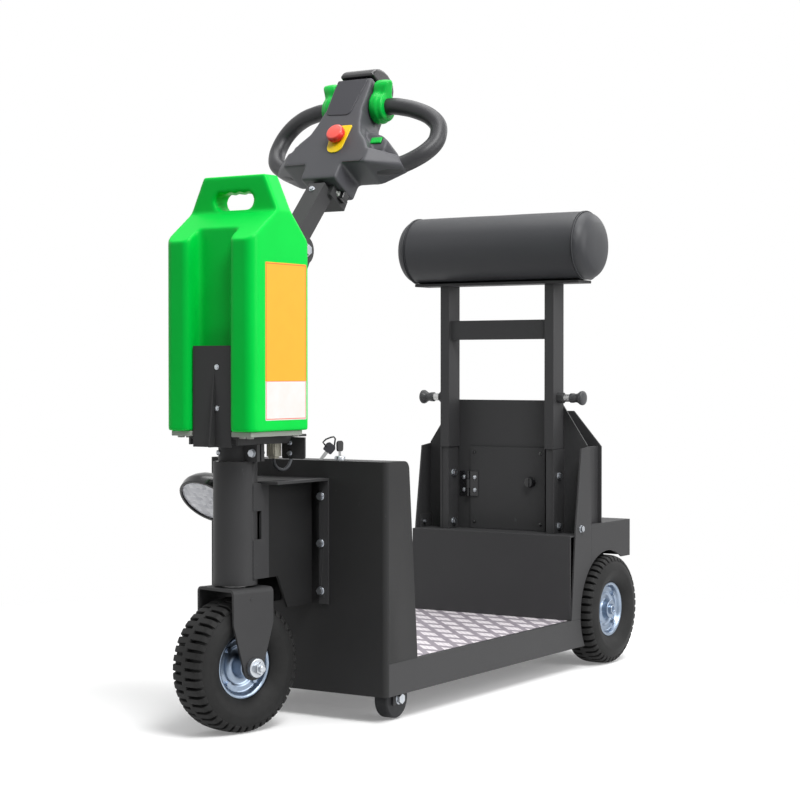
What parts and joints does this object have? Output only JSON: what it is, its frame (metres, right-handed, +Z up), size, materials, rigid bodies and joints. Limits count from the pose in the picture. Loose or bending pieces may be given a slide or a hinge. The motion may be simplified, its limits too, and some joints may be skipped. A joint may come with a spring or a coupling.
{
  "type": "stand-on electric tug",
  "caption": "Three-wheeled stand-on electric tug with a steered front fork, lift-off green battery, loop tiller, tread deck and round backrest",
  "frame": {"origin": "on the ground, under the middle of the box round the whole tug", "axes": "+Z up, -Y towards the steered wheel at the front, +X to the vehicle's left"},
  "size_m": [0.529, 1.4802, 1.3459],
  "materials": {
    "frame_black": "textured powder coat, near black",
    "zinc": "bright zinc plate with a blue cast",
    "steel": "ground steel",
    "tyre_rubber": "matt black rubber with moulded blocks",
    "roller_rubber": "grey rubber",
    "battery_green": "moulded bright green plastic, low sheen",
    "green_plastic": "moulded green plastic",
    "grey_plastic": "pale grey plastic",
    "cell_wrap": "shrink wrap",
    "label": "blank printed panel",
    "head_plastic": "grained dark grey plastic",
    "loop_grip": "soft-touch dark grey grip",
    "button_black": "smooth black plastic",
    "stop_red": "moulded red plastic",
    "stop_yellow": "yellow plate",
    "tread_metal": "bare tread plate",
    "cushion_skin": "black artificial leather",
    "motor_black": "painted casting"
  },
  "bodies": {
    "root": {"steering_column": "frame_black", "column_bearings": "steel", "front_panel": "frame_black", "front_cover": "frame_black", "sills": "frame_black", "chassis_frame": "frame_black", "tread_plate": "tread_metal", "riser_panel": "frame_black", "rear_uprights": "frame_black", "rear_hood": "frame_black", "tow_plate": "frame_black", "carrier_panel": "frame_black", "guard_panel": "frame_black", "guide_bars": "frame_black", "drive_axle": "motor_black", "drive_motor": "motor_black", "controller": "steel", "headlamp": "button_black", "body_bolts": "zinc"},
    "steering": {"fork": "frame_black", "steering_stem": "steel", "clamp_collar": "frame_black", "battery_shelf": "frame_black", "battery_bracket": "frame_black", "tiller_mast": "frame_black", "tiller_pivot_bolt": "zinc", "battery_connector": "grey_plastic", "front_axle": "zinc", "steering_bolts": "zinc"},
    "front_wheel": {"front_tyre": "tyre_rubber", "front_rim": "zinc", "front_bearings": "steel"},
    "battery": {"battery_case": "battery_green", "battery_base": "grey_plastic", "battery_cells": "cell_wrap", "battery_labels": "label"},
    "tiller": {"tiller_pole": "frame_black", "tiller_head": "head_plastic", "handle_loop": "loop_grip", "stop_plate": "stop_yellow"},
    "throttle": {"throttle_wings": "green_plastic"},
    "belly": {"belly_button": "button_black"},
    "stop": {"stop_button": "stop_red"},
    "thumb_left": {"thumb_button_left": "green_plastic"},
    "thumb_right": {"thumb_button_right": "green_plastic"},
    "key": {"ignition_key": "steel"},
    "wheel_left": {"rear_tyre_left": "tyre_rubber", "rear_hub_left": "zinc"},
    "wheel_right": {"rear_tyre_right": "tyre_rubber", "rear_hub_right": "zinc"},
    "roller_left": {"support_roller_left": "roller_rubber"},
    "roller_right": {"support_roller_right": "roller_rubber"},
    "backrest": {"backrest_frame": "frame_black", "backrest_board": "frame_black", "backrest_cushion": "cushion_skin", "plunger_bushes": "frame_black"},
    "pin_left": {"plunger_left": "button_black"},
    "pin_right": {"plunger_right": "button_black"},
    "door": {"carrier_door": "frame_black"},
    "latch": {"door_latch": "button_black"}
  },
  "joints": [
    {"name": "steer", "type": "hinge", "parent": "root", "child": "steering", "pos_m": [0, -0.60489, 0.4], "axis": [0, 0, 1], "range_deg": [-60, 60]},
    {"name": "front_wheel_spin", "type": "hinge", "parent": "steering", "child": "front_wheel", "pos_m": [0, -0.60489, 0.13], "axis": [0.9744, -0.225, 0], "continuous": true},
    {"name": "battery_lift", "type": "slide", "parent": "steering", "child": "battery", "axis": [0, 0, 1], "range_m": [0, 0.25]},
    {"name": "tiller_tilt", "type": "hinge", "parent": "steering", "child": "tiller", "pos_m": [0, -0.43289, 0.945], "axis": [1, 0, 0], "range_deg": [-15, 25]},
    {"name": "throttle_turn", "type": "hinge", "parent": "tiller", "child": "throttle", "pos_m": [0, -0.17573, 1.25939], "axis": [1, 0, 0], "range_deg": [-25, 25], "stiffness_Nm_per_rad": 0.6},
    {"name": "belly_press", "type": "slide", "parent": "tiller", "child": "belly", "axis": [0, -0.5299, -0.848], "range_m": [0, 0.005], "stiffness_N_per_m": 600, "springref_m": -0.004},
    {"name": "stop_press", "type": "slide", "parent": "tiller", "child": "stop", "axis": [0, 0.848, -0.5299], "range_m": [0, 0.004], "stiffness_N_per_m": 900, "springref_m": -0.002},
    {"name": "thumb_press_left", "type": "slide", "parent": "tiller", "child": "thumb_left", "axis": [0, 0.848, -0.5299], "range_m": [0, 0.002], "stiffness_N_per_m": 400, "springref_m": -0.002},
    {"name": "thumb_press_right", "type": "slide", "parent": "tiller", "child": "thumb_right", "axis": [0, 0.848, -0.5299], "range_m": [0, 0.002], "stiffness_N_per_m": 400, "springref_m": -0.002},
    {"name": "key_turn", "type": "hinge", "parent": "root", "child": "key", "pos_m": [0.082, -0.36489, 0.53], "axis": [0, 0, 1], "range_deg": [0, 90]},
    {"name": "wheel_spin_left", "type": "hinge", "parent": "root", "child": "wheel_left", "pos_m": [0.201, 0.56811, 0.13], "axis": [1, 0, 0], "continuous": true},
    {"name": "wheel_spin_right", "type": "hinge", "parent": "root", "child": "wheel_right", "pos_m": [-0.201, 0.56811, 0.13], "axis": [1, 0, 0], "continuous": true},
    {"name": "roller_spin_left", "type": "hinge", "parent": "root", "child": "roller_left", "pos_m": [0.185, -0.33289, 0.043], "axis": [1, 0, 0], "continuous": true},
    {"name": "roller_spin_right", "type": "hinge", "parent": "root", "child": "roller_right", "pos_m": [-0.185, -0.33289, 0.043], "axis": [1, 0, 0], "continuous": true},
    {"name": "backrest_height", "type": "slide", "parent": "root", "child": "backrest", "axis": [0, 0, 1], "range_m": [0, 0.1]},
    {"name": "pin_pull_left", "type": "slide", "parent": "backrest", "child": "pin_left", "axis": [1, 0, 0], "range_m": [0, 0.0085], "stiffness_N_per_m": 600, "springref_m": -0.006},
    {"name": "pin_pull_right", "type": "slide", "parent": "backrest", "child": "pin_right", "axis": [-1, 0, 0], "range_m": [0, 0.0085], "stiffness_N_per_m": 600, "springref_m": -0.006},
    {"name": "door_open", "type": "hinge", "parent": "root", "child": "door", "pos_m": [-0.104, 0.45761, 0.427], "axis": [0, 0, -1], "range_deg": [0, 90]},
    {"name": "latch_turn", "type": "hinge", "parent": "door", "child": "latch", "pos_m": [0.069, 0.46161, 0.435], "axis": [0, 1, 0], "range_deg": [0, 90]}
  ]
}
